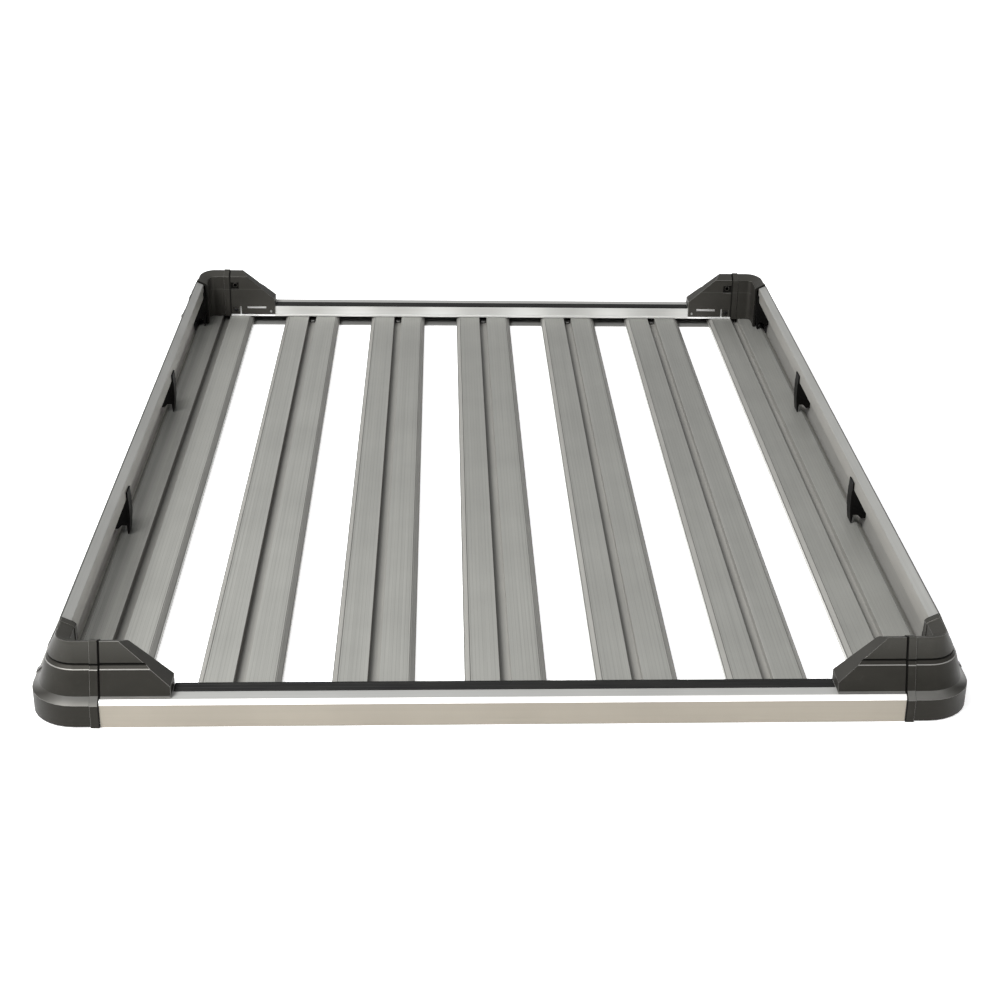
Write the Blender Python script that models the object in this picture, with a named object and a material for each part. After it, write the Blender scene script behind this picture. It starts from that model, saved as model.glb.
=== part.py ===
"""Roof cargo basket: an aluminium luggage tray for roof bars.

Seven front-to-rear planks slot into a front and a rear rail.  Two-tier side
rails stand on moulded posts, and moulded covers with wings close the corners.
Metres, +Z up, +X to the right, +Y to the rear.  The origin is at the centre
of the tray, on the plane it rests on.
"""
import math

import bmesh
import bpy
from mathutils import Matrix, Vector
from mathutils.geometry import tessellate_polygon

MM = 0.001
GAP = 0.3 * MM                       # kept between pieces that touch

# Overall plan, measured over the corner covers' outer faces
HALF_WIDTH = 522.7 * MM
HALF_LENGTH = 695.0 * MM
CORNER_RADIUS = 54.0 * MM
RAIL_INSET = 0.5 * MM                # rails stand this far inside the covers' faces

# Where the rails stop and the corner covers start
END_SEAM = 442.7 * MM                # |x| on the front and rear rails
SIDE_SEAM = 610.0 * MM               # |y| on the side rails

# Planks
PLANK_COUNT = 7
PLANK_PITCH = 150.0 * MM
PLANK_HALF_WIDTH = 46.8 * MM
PLANK_LAND_EDGE = 41.4 * MM          # half width of the flat top
PLANK_SHOULDER = 4.5 * MM            # drop of the chamfered edge
PLANK_BOTTOM = 1.8 * MM
PLANK_TOP = 13.2 * MM
PLANK_HALF_LENGTH = 682.5 * MM
CHANNEL_HALF_WIDTH = 6.35 * MM
CHANNEL_FLOOR = 4.2 * MM
PLANK_WALL = 1.9 * MM
PLANK_LIP = 8.0 * MM                 # turned-in lip under each edge
PLANK_SHOULDER_THINNING = 0.9 * MM   # inside corner's drop below the shoulder
PLANK_CORNER_THINNING = 0.7 * MM     # and its set-back from the flat top's edge

# Front and rear rails: depth is measured inward from the outer face
RAIL_FACE_TOP = 27.3 * MM
RAIL_TOP = 32.4 * MM
RAIL_BEVEL = 4.6 * MM
RAIL_WALL = 2.0 * MM
RAIL_HOLLOW_BEVEL = 2.4 * MM         # the hollow's own slanted outer corner
RAIL_HOLLOW_DROP = 0.6 * MM          # and its drop below the face's top
STRIP_DEPTH_START = 20.9 * MM        # the rubber strip's seat
STRIP_SEAT_DROP = 1.2 * MM
STRIP_PROUD = 1.0 * MM
STRIP_ROUNDING = 0.7 * MM
STRIP_END_CLEARANCE = 1.0 * MM       # between the strip's ends and the wings
BOX_DEPTH = 39.0 * MM
LIP_DEPTH = 42.0 * MM
LIP_TOP = 16.6 * MM
LIP_FALL = 0.4 * MM
SLOT_TOP = 13.6 * MM                 # the planks slide in under this
FLANGE_THICKNESS = 1.5 * MM
FLANGE_DEPTH = 49.5 * MM

# Side rails
SIDE_RAIL_DEPTH = 20.0 * MM
SIDE_HOLLOW_BEVEL = 3.4 * MM
SIDE_FLANGE_DEPTH = 24.9 * MM        # the lower rail's bottom flange closes the gap to the plank
UPPER_OUTER_BOTTOM = (500.4 * MM, 63.2 * MM)
UPPER_OUTER_TOP = (494.7 * MM, 89.3 * MM)
UPPER_INNER_TOP = (482.4 * MM, 84.0 * MM)
UPPER_INNER_BOTTOM = (482.4 * MM, 62.0 * MM)
UPPER_WALL = 1.8 * MM

# Corner covers and wings: inset is measured inward from the cover's outer face
COVER_WALL = 2.2 * MM
INNER_WALL = 2.0 * MM
END_INNER_INSET = 41.9 * MM          # inner wall beside the front and rear rails
SIDE_INNER_INSET = 45.2 * MM         # inner wall beside the side rails
COVER_TOP = 92.3 * MM
RIDGE_INSET = 26.0 * MM
SIDE_RIDGE_SHIFT = 4.2 * MM          # further inward at the side rails
SIDE_RIDGE_FALL = 2.4 * MM           # and lower there
INNER_SHOULDER = 84.8 * MM           # top of the upright inner wall
SHOULDER_BEVEL = (1.5 * MM, 1.6 * MM)
SHOULDER_THICKNESS = 1.0 * MM
COVER_FOOT = 1.0 * MM                # height of the band's lower edge, between collars
COVER_INNER_FOOT = 14.0 * MM         # height of the inner wall's lower edge
COLLAR_RISE = 1.2 * MM
COLLAR_LENGTH = 9.5 * MM
COLLAR_RAMP = 0.8 * MM
ARC_STEPS = 8

WING_TIP = 366.0 * MM                # |x| of the wing's free end
WING_KNEE = 44.0 * MM                # height at which the slanted edge starts
WING_SLANT_TOP = 420.5 * MM          # |x| where it meets the ridge
WING_FOOT = 32.9 * MM                # height at which the wing sits on the rail
WING_FOOT_INSET = 5.5 * MM
WING_INNER_FOOT = 17.2 * MM
WING_HEADROOM = 3.0 * MM             # the slanted cut runs on above the ridge by this

# Openings in a wing's upright inner wall: |x| from, |x| to, z from, z to
WING_SLOT = (381.0 * MM, 414.0 * MM, 27.2 * MM, 30.9 * MM)
WING_SLIT = (424.3 * MM, 426.7 * MM, 16.0 * MM, 31.4 * MM)
SCREW_RECESS = (429.0 * MM, 438.6 * MM, 18.6 * MM, 30.4 * MM)
HOLE_RECESS = (427.4 * MM, 441.0 * MM, 61.0 * MM, 75.0 * MM)
RECESS_DEPTH = 1.2 * MM
WING_HOLE_Z = 69.5 * MM
WING_HOLE_RADIUS = 3.1 * MM

# Posts between the lower and upper side rails: |y| of the four end posts, and y of
# the middle ones, which were clamped by hand
END_POST_STATION = 603.3 * MM
END_POST_HALF_WIDTH = 6.2 * MM
MIDDLE_POST_STATIONS = {
    "left": (-225.0 * MM, 208.0 * MM),
    "right": (-194.0 * MM, 214.0 * MM),
}
MIDDLE_POST_HALF_WIDTH = 11.5 * MM
POST_INNER = 479.3 * MM              # |x| of the post's inner face
POST_FLANGE_TOP = 73.0 * MM
POST_FLANGE = 1.9 * MM               # thickness of the flange against the upper rail
POST_WEB_LOW = 25.7 * MM             # underside of the web above the plank
POST_HEEL = 20.6 * MM                # lower end of the face against the lower rail
POST_SADDLE_TIP = (512.0 * MM, 36.5 * MM)
POST_WAIST = (504.0 * MM, 60.0 * MM)
POST_HOOK = (499.2 * MM, 501.4 * MM, 71.0 * MM)   # |x| from, |x| to, and height of the outer hook

# Cast angles inside the corner covers
BRACKET_INSET = 6.2 * MM             # from the covers' outer face
BRACKET_CLEARANCE = 0.4 * MM         # inside the rails' walls
BRACKET_TONGUE = 35.0 * MM           # reach into each rail
BRACKET_GUSSET = 14.0 * MM
BRACKET_FOOT = (1.0 * MM, 20.0 * MM)  # heights between which its foot stands beside the plank
BRACKET_FOOT_CLEARANCE = 0.6 * MM     # from the plank's edge and the side rail's end
BRACKET_FOOT_REACH = 14.0 * MM        # past the start of the cover's bend
BRACKET_FOOT_TAPER = 3.0 * MM         # narrowing along that reach, to follow the bend

# Plugs between the upper side rails and the corner covers
JOINER_SCALE = 0.80
JOINER_IN_RAIL = 30.0 * MM
JOINER_IN_COVER = 12.0 * MM

# Fasteners
BOLT_DEPTH = 44.5 * MM               # from the rail's outer face to the plank bolt
BOLT_SHANK_RADIUS = 2.5 * MM
BOLT_HEAD_RADIUS = 5.4 * MM          # across the hexagon's corners
BOLT_HEAD_HEIGHT = 3.5 * MM
BOLT_HEAD_CHAMFER = 0.7 * MM
BOLT_SHANK_FOOT = 0.4 * MM           # the shank's end stays above the resting plane
BOLT_HOLE_RADIUS = 2.9 * MM
CUT_MARGIN = 1.0 * MM                # how far a cutter runs past the wall it cuts
SCREW_X = 433.5 * MM
SCREW_Z = 24.0 * MM
RIVET_X = 372.7 * MM
RIVET_Z = 22.5 * MM
SCREW_SHANK_RADIUS = 1.7 * MM
SCREW_HOLE_RADIUS = 2.1 * MM
# (radius, height above the seat) up to the seat, from the head's crown
SCREW_HEAD = ((1.9 * MM, 1.7 * MM), (2.9 * MM, 1.2 * MM), (3.2 * MM, 0.4 * MM), (3.2 * MM, 0.0))
RIVET_HEAD = ((0.9 * MM, 1.3 * MM), (1.9 * MM, 0.9 * MM), (2.4 * MM, 0.2 * MM), (2.4 * MM, 0.0))

# Colours as linear RGB, with roughness and metallic value
ALUMINIUM = ((0.42, 0.40, 0.37), 0.38, 1.0)
PLASTIC = ((0.045, 0.043, 0.040), 0.55, 0.0)
RUBBER = ((0.030, 0.030, 0.032), 0.70, 0.0)
BLACK_PLASTIC = ((0.012, 0.012, 0.012), 0.50, 0.0)
STEEL = ((0.55, 0.55, 0.56), 0.30, 1.0)
DARK_STEEL = ((0.06, 0.06, 0.065), 0.40, 1.0)
CAST = ((0.35, 0.35, 0.36), 0.55, 1.0)


def clear_scene():
    for item in list(bpy.data.objects):
        bpy.data.objects.remove(item, do_unlink=True)


def finish_material(name, finish):
    colour, roughness, metallic = finish
    made = bpy.data.materials.new(name + "_finish")
    made.use_nodes = True
    shader = made.node_tree.nodes["Principled BSDF"]
    shader.inputs["Base Color"].default_value = (*colour, 1.0)
    shader.inputs["Roughness"].default_value = roughness
    shader.inputs["Metallic"].default_value = metallic
    return made


def object_from(bm, name, finish=None):
    """Turn a bmesh into a linked object with its faces pointing out."""
    bmesh.ops.recalc_face_normals(bm, faces=bm.faces)
    mesh = bpy.data.meshes.new(name)
    bm.to_mesh(mesh)
    bm.free()
    made = bpy.data.objects.new(name, mesh)
    bpy.context.scene.collection.objects.link(made)
    if finish:
        mesh.materials.append(finish_material(name, finish))
    return made


def smooth(item, angle=30.0):
    item.data.shade_smooth()
    item.data.set_sharp_from_angle(angle=math.radians(angle))


def triangulated(loops):
    """Index triples that fill a flat outline, less the holes after it."""
    flat = [[Vector((u, v, 0.0)) for u, v in loop] for loop in loops]
    return tessellate_polygon(flat)


def loft(name, rings, cap_loops, finish=None):
    """Join rings of points, each a list of loops, and close both ends."""
    bm = bmesh.new()
    placed = [[[bm.verts.new(point) for point in loop] for loop in ring] for ring in rings]
    caps = triangulated(cap_loops)
    for ring in (placed[0], placed[-1]):
        corners = [corner for loop in ring for corner in loop]
        for triple in caps:
            bm.faces.new([corners[index] for index in triple])
    for ring, following in zip(placed, placed[1:]):
        for loop, next_loop in zip(ring, following):
            count = len(loop)
            for index in range(count):
                after = (index + 1) % count
                bm.faces.new((loop[index], loop[after], next_loop[after], next_loop[index]))
    return object_from(bm, name, finish)


def prism(name, loops, place, start, end, finish=None):
    """Extrude flat loops: an outline, then any holes.  place(u, v, w) is in the world."""
    rings = [[[place(u, v, w) for u, v in loop] for loop in loops] for w in (start, end)]
    return loft(name, rings, loops, finish)


def turned(name, axis, centre, steps, rings, finish=None):
    """Solid of revolution about an axis, from (radius, height) rings."""
    across = {"x": ("y", "z"), "y": ("z", "x"), "z": ("x", "y")}[axis]
    places = []
    for radius, height in rings:
        loop = []
        for step in range(steps):
            turn = 2.0 * math.pi * step / steps
            point = Vector(centre)
            setattr(point, across[0], getattr(point, across[0]) + radius * math.cos(turn))
            setattr(point, across[1], getattr(point, across[1]) + radius * math.sin(turn))
            setattr(point, axis, getattr(point, axis) + height)
            loop.append(point)
        places.append([loop])
    outline = [(math.cos(2.0 * math.pi * s / steps), math.sin(2.0 * math.pi * s / steps))
               for s in range(steps)]
    return loft(name, places, [outline], finish)


def box(name, low, high):
    outline = [(low[0], low[1]), (high[0], low[1]), (high[0], high[1]), (low[0], high[1])]
    return prism(name, [outline], lambda u, v, w: (u, v, w), low[2], high[2])


def combine(target, tool, operation):
    """Apply an exact Boolean to the target and discard the tool."""
    modifier = target.modifiers.new("cut", "BOOLEAN")
    modifier.operation = operation
    modifier.object = tool
    evaluated = target.evaluated_get(bpy.context.evaluated_depsgraph_get())
    result = bpy.data.meshes.new_from_object(evaluated)
    target.modifiers.remove(modifier)
    old = target.data
    target.data = result
    bpy.data.meshes.remove(old)
    bpy.data.objects.remove(tool, do_unlink=True)
    return target


def mirrored(half):
    """Complete a symmetric outline from its right half, listed top to bottom."""
    return half + [(-u, v) for u, v in reversed(half)]


def bolt_line(end_sign):
    return end_sign * (HALF_LENGTH - RAIL_INSET - BOLT_DEPTH)


def plank_centres():
    middle = (PLANK_COUNT - 1) / 2.0
    return [(index - middle) * PLANK_PITCH for index in range(PLANK_COUNT)]


def bolted_planks():
    """(number, centre) of the planks that the front and rear rails reach."""
    numbered = enumerate(plank_centres(), start=1)
    return [(number, centre) for number, centre in numbered if abs(centre) < END_SEAM]


# ---------------------------------------------------------------- planks

def plank_outline():
    wall = PLANK_WALL
    shoulder_z = PLANK_TOP - PLANK_SHOULDER
    half = [
        (CHANNEL_HALF_WIDTH, CHANNEL_FLOOR),
        (CHANNEL_HALF_WIDTH, PLANK_TOP),
        (PLANK_LAND_EDGE, PLANK_TOP),
        (PLANK_HALF_WIDTH, shoulder_z),
        (PLANK_HALF_WIDTH, PLANK_BOTTOM),
        (PLANK_HALF_WIDTH - PLANK_LIP, PLANK_BOTTOM),
        (PLANK_HALF_WIDTH - PLANK_LIP, PLANK_BOTTOM + wall),
        (PLANK_HALF_WIDTH - wall, PLANK_BOTTOM + wall),
        (PLANK_HALF_WIDTH - wall, shoulder_z - PLANK_SHOULDER_THINNING),
        (PLANK_LAND_EDGE - PLANK_CORNER_THINNING, PLANK_TOP - wall),
        (CHANNEL_HALF_WIDTH + wall, PLANK_TOP - wall),
        (CHANNEL_HALF_WIDTH + wall, PLANK_BOTTOM),
    ]
    return mirrored(half)


def make_planks():
    for number, centre in enumerate(plank_centres(), start=1):
        plank = prism(
            f"plank_{number}",
            [plank_outline()],
            lambda u, v, w: (centre + u, w, v),
            -PLANK_HALF_LENGTH,
            PLANK_HALF_LENGTH,
            ALUMINIUM,
        )
        if abs(centre) > END_SEAM:
            continue
        for end_sign in (-1, 1):
            drill = turned(
                "drill", "z", (centre, bolt_line(end_sign), 0.0), 12,
                [(BOLT_HOLE_RADIUS, PLANK_BOTTOM - CUT_MARGIN),
                 (BOLT_HOLE_RADIUS, CHANNEL_FLOOR + CUT_MARGIN)],
            )
            combine(plank, drill, "DIFFERENCE")


# ---------------------------------------------------------------- rails

def bevel_points(depth, rise_from, top):
    """Three-step rounded bevel on an outer top edge."""
    rise = top - rise_from
    return [
        (0.0, rise_from),
        (0.22 * depth, rise_from + 0.45 * rise),
        (0.61 * depth, rise_from + 0.82 * rise),
        (depth, top),
    ]


def end_rail_loops():
    seat = RAIL_TOP - STRIP_SEAT_DROP
    outline = [(0.0, 0.0)]
    outline += bevel_points(RAIL_BEVEL, RAIL_FACE_TOP, RAIL_TOP)
    outline += [
        (STRIP_DEPTH_START, RAIL_TOP),
        (STRIP_DEPTH_START, seat),
        (BOX_DEPTH, seat),
        (BOX_DEPTH, LIP_TOP),
        (LIP_DEPTH, LIP_TOP - LIP_FALL),
        (LIP_DEPTH, SLOT_TOP),
        (RAIL_WALL, SLOT_TOP),
        (RAIL_WALL, FLANGE_THICKNESS),
        (FLANGE_DEPTH, FLANGE_THICKNESS),
        (FLANGE_DEPTH, 0.0),
    ]
    floor = SLOT_TOP + RAIL_WALL
    roof = seat - RAIL_WALL
    hollow = [
        (RAIL_WALL, floor),
        (RAIL_WALL, RAIL_FACE_TOP - RAIL_HOLLOW_DROP),
        (RAIL_WALL + RAIL_HOLLOW_BEVEL, roof),
        (BOX_DEPTH - RAIL_WALL, roof),
        (BOX_DEPTH - RAIL_WALL, floor),
    ]
    return [outline, hollow]


def make_end_rails():
    outer = HALF_LENGTH - RAIL_INSET
    for name, sign in (("front", -1), ("rear", 1)):
        rail = prism(
            f"{name}_rail",
            end_rail_loops(),
            lambda u, v, w: (w, sign * (outer - u), v),
            -END_SEAM + GAP,
            END_SEAM - GAP,
            ALUMINIUM,
        )
        for _, centre in bolted_planks():
            drill = turned(
                "drill", "z", (centre, bolt_line(sign), 0.0), 12,
                [(BOLT_HOLE_RADIUS, -CUT_MARGIN),
                 (BOLT_HOLE_RADIUS, FLANGE_THICKNESS + CUT_MARGIN)],
            )
            combine(rail, drill, "DIFFERENCE")
        for side in (-1, 1):
            for x, z in ((SCREW_X, SCREW_Z), (RIVET_X, RIVET_Z)):
                start = outer - BOX_DEPTH - CUT_MARGIN
                stop = outer - BOX_DEPTH + RAIL_WALL + CUT_MARGIN
                drill = turned(
                    "drill", "y", (side * x, 0.0, z), 10,
                    [(SCREW_HOLE_RADIUS, sign * start), (SCREW_HOLE_RADIUS, sign * stop)],
                )
                combine(rail, drill, "DIFFERENCE")


def make_rubber_strips():
    """Flat strips along the inner half of the front and rear rails' tops."""
    outer = HALF_LENGTH - RAIL_INSET
    low = RAIL_TOP - STRIP_SEAT_DROP + GAP
    high = RAIL_TOP + STRIP_PROUD
    start = STRIP_DEPTH_START + GAP
    outline = [
        (start, low),
        (start, high - STRIP_ROUNDING),
        (start + STRIP_ROUNDING, high),
        (BOX_DEPTH - STRIP_ROUNDING, high),
        (BOX_DEPTH, high - STRIP_ROUNDING),
        (BOX_DEPTH, low),
    ]
    for name, sign in (("front", -1), ("rear", 1)):
        prism(
            f"rubber_strip_{name}",
            [outline],
            lambda u, v, w: (w, sign * (outer - u), v),
            -WING_TIP + STRIP_END_CLEARANCE,
            WING_TIP - STRIP_END_CLEARANCE,
            RUBBER,
        )


def lower_rail_loops():
    outline = [(0.0, 0.0)]
    outline += bevel_points(RAIL_BEVEL, RAIL_FACE_TOP, RAIL_TOP)
    outline += [
        (SIDE_RAIL_DEPTH, RAIL_TOP),
        (SIDE_RAIL_DEPTH, FLANGE_THICKNESS),
        (SIDE_FLANGE_DEPTH, FLANGE_THICKNESS),
        (SIDE_FLANGE_DEPTH, 0.0),
    ]
    hollow = [
        (RAIL_WALL, RAIL_WALL),
        (RAIL_WALL, RAIL_FACE_TOP - RAIL_HOLLOW_DROP),
        (RAIL_WALL + SIDE_HOLLOW_BEVEL, RAIL_TOP - RAIL_WALL),
        (SIDE_RAIL_DEPTH - RAIL_WALL, RAIL_TOP - RAIL_WALL),
        (SIDE_RAIL_DEPTH - RAIL_WALL, RAIL_WALL),
    ]
    return [outline, hollow]


def upper_rail_loops():
    wall = UPPER_WALL
    outline = [UPPER_OUTER_BOTTOM, UPPER_OUTER_TOP, UPPER_INNER_TOP, UPPER_INNER_BOTTOM]
    hollow = [
        (UPPER_OUTER_BOTTOM[0] - 1.3 * wall, UPPER_OUTER_BOTTOM[1] + wall),
        (UPPER_OUTER_TOP[0] - wall, UPPER_OUTER_TOP[1] - 1.5 * wall),
        (UPPER_INNER_TOP[0] + wall, UPPER_INNER_TOP[1] - 0.7 * wall),
        (UPPER_INNER_BOTTOM[0] + wall, UPPER_INNER_BOTTOM[1] + wall),
    ]
    return [outline, hollow]


def make_side_rails():
    outer = HALF_WIDTH - RAIL_INSET
    for name, sign in (("left", -1), ("right", 1)):
        prism(
            f"{name}_lower_rail",
            lower_rail_loops(),
            lambda u, v, w: (sign * (outer - u), w, v),
            -SIDE_SEAM + GAP,
            SIDE_SEAM - GAP,
            ALUMINIUM,
        )
        prism(
            f"{name}_upper_rail",
            upper_rail_loops(),
            lambda u, v, w: (sign * u, w, v),
            -SIDE_SEAM + GAP,
            SIDE_SEAM - GAP,
            ALUMINIUM,
        )


# ---------------------------------------------------------------- corner covers

def outer_skin(rise=0.0, side=0.0):
    """(inset, height) up the outside: band, bevel, leaning wall, groove, upper tier.

    side runs from 0 beside the front and rear rails to 1 beside the side rails.
    """
    shift = SIDE_RIDGE_SHIFT * side
    fall = SIDE_RIDGE_FALL * side
    return [
        (-rise, RAIL_FACE_TOP),
        (8.0 * MM - 0.7 * rise, 34.6 * MM + 0.7 * rise),
        (16.3 * MM - rise, 62.6 * MM),
        (17.2 * MM - rise, 63.4 * MM),
        (19.6 * MM - rise, 66.6 * MM),
        (20.6 * MM - rise, 66.8 * MM),
        (20.6 * MM - rise, 68.4 * MM),
        (19.8 * MM - rise, 69.2 * MM),
        (25.4 * MM - rise + shift, 90.6 * MM - fall),
        (RIDGE_INSET - 0.5 * rise + shift, COVER_TOP + rise - fall),
        (RIDGE_INSET + 1.2 * MM + shift, COVER_TOP + rise - fall),
    ]


def inner_skin(side=0.0):
    """(inset, height) of the same wall's hidden side, from the ridge down."""
    shift = SIDE_RIDGE_SHIFT * side
    fall = SIDE_RIDGE_FALL * side
    return [
        (28.0 * MM + shift, 90.0 * MM - fall),
        (27.4 * MM + shift, 89.4 * MM - fall),
        (22.8 * MM, 68.0 * MM),
        (18.8 * MM, 62.0 * MM),
        (10.3 * MM, 35.4 * MM),
        (COVER_WALL, RAIL_FACE_TOP + 0.9 * MM),
    ]


def cover_outline(side, rise):
    """One closed section through a corner cover's shell, open underneath."""
    foot = COVER_FOOT * (1.0 - rise / COLLAR_RISE)
    inner_inset = END_INNER_INSET + (SIDE_INNER_INSET - END_INNER_INSET) * side
    shoulder = INNER_SHOULDER - SIDE_RIDGE_FALL * side
    outline = [(-rise, foot)]
    outline += outer_skin(rise, side)
    outline += [
        (inner_inset - SHOULDER_BEVEL[0], shoulder + SHOULDER_BEVEL[1] + rise),
        (inner_inset + rise, shoulder),
        (inner_inset + rise, COVER_INNER_FOOT),
        (inner_inset - INNER_WALL, COVER_INNER_FOOT),
        (inner_inset - INNER_WALL, shoulder - SHOULDER_THICKNESS),
    ]
    outline += inner_skin(side)
    outline.append((COVER_WALL, foot))
    return outline


def cover_stations():
    """Along one cover: a point on the outer line, the inward normal, side share, rise."""
    arc_x = HALF_WIDTH - CORNER_RADIUS
    arc_y = HALF_LENGTH - CORNER_RADIUS
    collar_end = END_SEAM + COLLAR_LENGTH
    stations = [
        ((END_SEAM, HALF_LENGTH), (0.0, -1.0), 0.0, COLLAR_RISE),
        ((collar_end, HALF_LENGTH), (0.0, -1.0), 0.0, COLLAR_RISE),
        ((collar_end + COLLAR_RAMP, HALF_LENGTH), (0.0, -1.0), 0.0, 0.0),
    ]
    for step in range(ARC_STEPS + 1):
        share = step / ARC_STEPS
        turn = 0.5 * math.pi * (1.0 - share)
        outward = (math.cos(turn), math.sin(turn))
        point = (arc_x + CORNER_RADIUS * outward[0], arc_y + CORNER_RADIUS * outward[1])
        blend = share * share * (3.0 - 2.0 * share)
        stations.append((point, (-outward[0], -outward[1]), blend, 0.0))
    collar_end = SIDE_SEAM + COLLAR_LENGTH
    stations += [
        ((HALF_WIDTH, collar_end + COLLAR_RAMP), (-1.0, 0.0), 1.0, 0.0),
        ((HALF_WIDTH, collar_end), (-1.0, 0.0), 1.0, COLLAR_RISE),
        ((HALF_WIDTH, SIDE_SEAM), (-1.0, 0.0), 1.0, COLLAR_RISE),
    ]
    return stations


def corners():
    for end_name, end_sign in (("front", -1), ("rear", 1)):
        for side_name, side_sign in (("left", -1), ("right", 1)):
            yield f"{end_name}_{side_name}", side_sign, end_sign


def make_corner_covers():
    for name, side, end in corners():
        rings = []
        for (x, y), (nx, ny), side_share, rise in cover_stations():
            loop = [
                (side * (x + nx * depth), end * (y + ny * depth), height)
                for depth, height in cover_outline(side_share, rise)
            ]
            rings.append([loop])
        cap = cover_outline(0.0, COLLAR_RISE)
        cover = loft(f"corner_cover_{name}", rings, [cap], PLASTIC)
        smooth(cover)


# ---------------------------------------------------------------- wings

def wing_side_outline(inset, foot, seam):
    """(x, z) of the wing seen from the front, drawn in by an inset on its free edges."""
    slope = math.atan2(COVER_TOP - WING_KNEE, WING_SLANT_TOP - WING_TIP)
    knee_drop = inset * math.tan(0.5 * (0.5 * math.pi - slope))
    above = COVER_TOP + WING_HEADROOM
    slant_top = WING_SLANT_TOP + inset / math.sin(slope) + WING_HEADROOM / math.tan(slope)
    return [
        (seam, foot),
        (WING_TIP + inset, foot),
        (WING_TIP + inset, WING_KNEE - knee_drop),
        (slant_top, above),
        (seam, above),
    ]


def wing_section_outer():
    hidden = END_INNER_INSET - INNER_WALL
    return [(WING_FOOT_INSET, WING_FOOT)] + outer_skin()[1:] + [
        (END_INNER_INSET - SHOULDER_BEVEL[0], INNER_SHOULDER + SHOULDER_BEVEL[1]),
        (END_INNER_INSET, INNER_SHOULDER),
        (END_INNER_INSET, WING_INNER_FOOT),
        (hidden, WING_INNER_FOOT),
        (hidden, WING_FOOT),
    ]


def wing_section_hollow():
    hidden = END_INNER_INSET - INNER_WALL
    below = WING_FOOT - CUT_MARGIN
    return [
        (WING_FOOT_INSET + 2.0 * COVER_WALL, below),
        *reversed(inner_skin()[:-1]),
        (hidden, INNER_SHOULDER - SHOULDER_THICKNESS),
        (hidden, below),
    ]


def make_wing(name, side, end):
    """The cover's own section carried along the rail and cut off at a slant."""
    seam = END_SEAM - GAP

    def along_rail(u, v, w):
        return (side * w, end * (HALF_LENGTH - u), v)

    def across_rail(u, v, w):
        return (side * u, end * (HALF_LENGTH - w), v)

    body = prism(
        f"corner_wing_{name}",
        [wing_section_outer()],
        along_rail,
        WING_TIP - CUT_MARGIN,
        seam,
        PLASTIC,
    )
    hollow = prism(
        "hollow",
        [wing_section_hollow()],
        along_rail,
        WING_TIP - CUT_MARGIN,
        seam + CUT_MARGIN,
    )
    for target, inset in ((body, 0.0), (hollow, COVER_WALL)):
        outline = wing_side_outline(inset, WING_INNER_FOOT - CUT_MARGIN, seam + 2.0 * CUT_MARGIN)
        limits = prism(
            "limits", [outline], across_rail, -CUT_MARGIN, END_INNER_INSET + CUT_MARGIN,
        )
        combine(target, limits, "INTERSECT")
    return combine(body, hollow, "DIFFERENCE")


def cut_wing_details(wing, side, end):
    """Windows, recesses and fastener holes in the wing's upright inner wall."""
    face = HALF_LENGTH - END_INNER_INSET
    start = face - CUT_MARGIN
    recess_floor = face + RECESS_DEPTH
    through = face + INNER_WALL + CUT_MARGIN
    windows = (
        (WING_SLOT, through),
        (WING_SLIT, through),
        (SCREW_RECESS, recess_floor),
        (HOLE_RECESS, recess_floor),
    )
    for (x_near, x_far, z_low, z_high), deep in windows:
        xs = sorted((side * x_near, side * x_far))
        ys = sorted((end * start, end * deep))
        combine(wing, box("window", (xs[0], ys[0], z_low), (xs[1], ys[1], z_high)), "DIFFERENCE")
    holes = (
        (SCREW_X, SCREW_Z, SCREW_HOLE_RADIUS),
        (RIVET_X, RIVET_Z, SCREW_HOLE_RADIUS),
        (SCREW_X, WING_HOLE_Z, WING_HOLE_RADIUS),
    )
    for x, z, radius in holes:
        drill = turned(
            "drill", "y", (side * x, 0.0, z), 12,
            [(radius, end * start), (radius, end * through)],
        )
        combine(wing, drill, "DIFFERENCE")


def make_wings():
    for name, side, end in corners():
        wing = make_wing(name, side, end)
        cut_wing_details(wing, side, end)
        smooth(wing, 20.0)


# ---------------------------------------------------------------- corner brackets

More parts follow.
